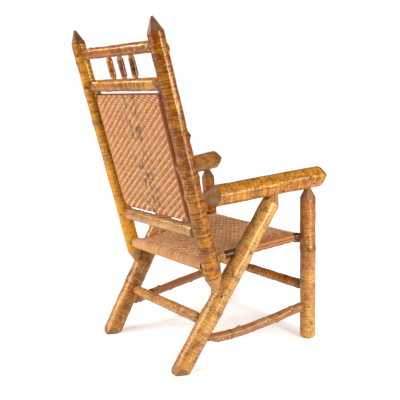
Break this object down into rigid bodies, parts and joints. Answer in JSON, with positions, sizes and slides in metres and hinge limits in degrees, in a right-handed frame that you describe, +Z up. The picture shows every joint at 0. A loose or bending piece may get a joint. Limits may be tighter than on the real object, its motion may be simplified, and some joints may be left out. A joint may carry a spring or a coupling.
{
  "type": "rustic birch armchair",
  "caption": "Rustic armchair of bark-on birch logs with pointed posts, crossed rear legs, thick log arms, crest spindles and a splint-woven seat and back.",
  "frame": {"origin": "centre of the chair's box in plan, on the floor that its feet stand on", "axes": "+Z up, -Y the way the sitter faces, -X the sitter's right"},
  "size_m": [0.6438, 0.7121, 1.1009],
  "materials": {
    "golden_bark": "varnished golden birch bark, glossy, with dark lenticels and patches",
    "tan_bark": "varnished yellow-tan birch bark, glossy, with dark lenticels",
    "dark_bark": "varnished dark red-brown bark, satin",
    "peeled_wood": "peeled and varnished grey-tan wood with orange streaks",
    "back_splint": "twill-woven wood splint, pinkish tan, satin",
    "seat_splint": "twill-woven wood splint, brown tan, satin",
    "nail_iron": "dull dark iron"
  },
  "bodies": {
    "root": {"right_back_post": "golden_bark", "left_back_post": "golden_bark", "right_arm": "golden_bark", "left_arm": "golden_bark", "crest_rail": "golden_bark", "upper_back_rail": "golden_bark", "lower_back_rail": "peeled_wood", "right_rear_leg": "tan_bark", "left_rear_leg": "tan_bark", "right_front_leg": "tan_bark", "left_front_leg": "tan_bark", "rear_stretcher": "tan_bark", "front_stretcher": "tan_bark", "right_stretcher": "tan_bark", "left_stretcher": "tan_bark", "left_crest_spindle": "tan_bark", "middle_crest_spindle": "dark_bark", "right_crest_spindle": "dark_bark", "right_back_stile": "dark_bark", "left_back_stile": "dark_bark", "rear_seat_rail": "dark_bark", "front_seat_rail": "dark_bark", "right_seat_rail": "dark_bark", "left_seat_rail": "dark_bark", "woven_back": "back_splint", "woven_seat": "seat_splint", "nail_crest_rail_left_back_post": "nail_iron", "nail_crest_rail_right_back_post": "nail_iron", "nail_upper_back_rail_left_back_post": "nail_iron", "nail_upper_back_rail_right_back_post": "nail_iron", "nail_lower_back_rail_left_back_post": "nail_iron", "nail_lower_back_rail_right_back_post": "nail_iron", "nail_rear_seat_rail_left_back_post": "nail_iron", "nail_rear_seat_rail_right_back_post": "nail_iron", "nail_front_seat_rail_left_front_leg": "nail_iron", "nail_front_seat_rail_right_front_leg": "nail_iron", "nail_front_stretcher_left_front_leg": "nail_iron", "nail_front_stretcher_right_front_leg": "nail_iron", "nail_rear_stretcher_left_rear_leg": "nail_iron", "nail_rear_stretcher_right_rear_leg": "nail_iron", "nail_left_arm_left_back_post": "nail_iron", "nail_right_arm_right_back_post": "nail_iron", "nail_left_back_post_left_rear_leg": "nail_iron", "nail_right_back_post_right_rear_leg": "nail_iron", "nail_left_front_leg_left_arm": "nail_iron", "nail_right_front_leg_right_arm": "nail_iron", "nail_left_rear_leg_left_arm": "nail_iron", "nail_right_rear_leg_right_arm": "nail_iron", "nail_left_seat_rail_left_back_post": "nail_iron", "nail_right_seat_rail_right_back_post": "nail_iron", "nail_left_seat_rail_left_front_leg": "nail_iron", "nail_right_seat_rail_right_front_leg": "nail_iron", "nail_left_seat_rail_lap": "nail_iron", "nail_right_seat_rail_lap": "nail_iron", "nail_left_stretcher_left_front_leg": "nail_iron", "nail_right_stretcher_right_front_leg": "nail_iron", "nail_left_stretcher_left_rear_leg": "nail_iron", "nail_right_stretcher_right_rear_leg": "nail_iron"}
  },
  "joints": []
}
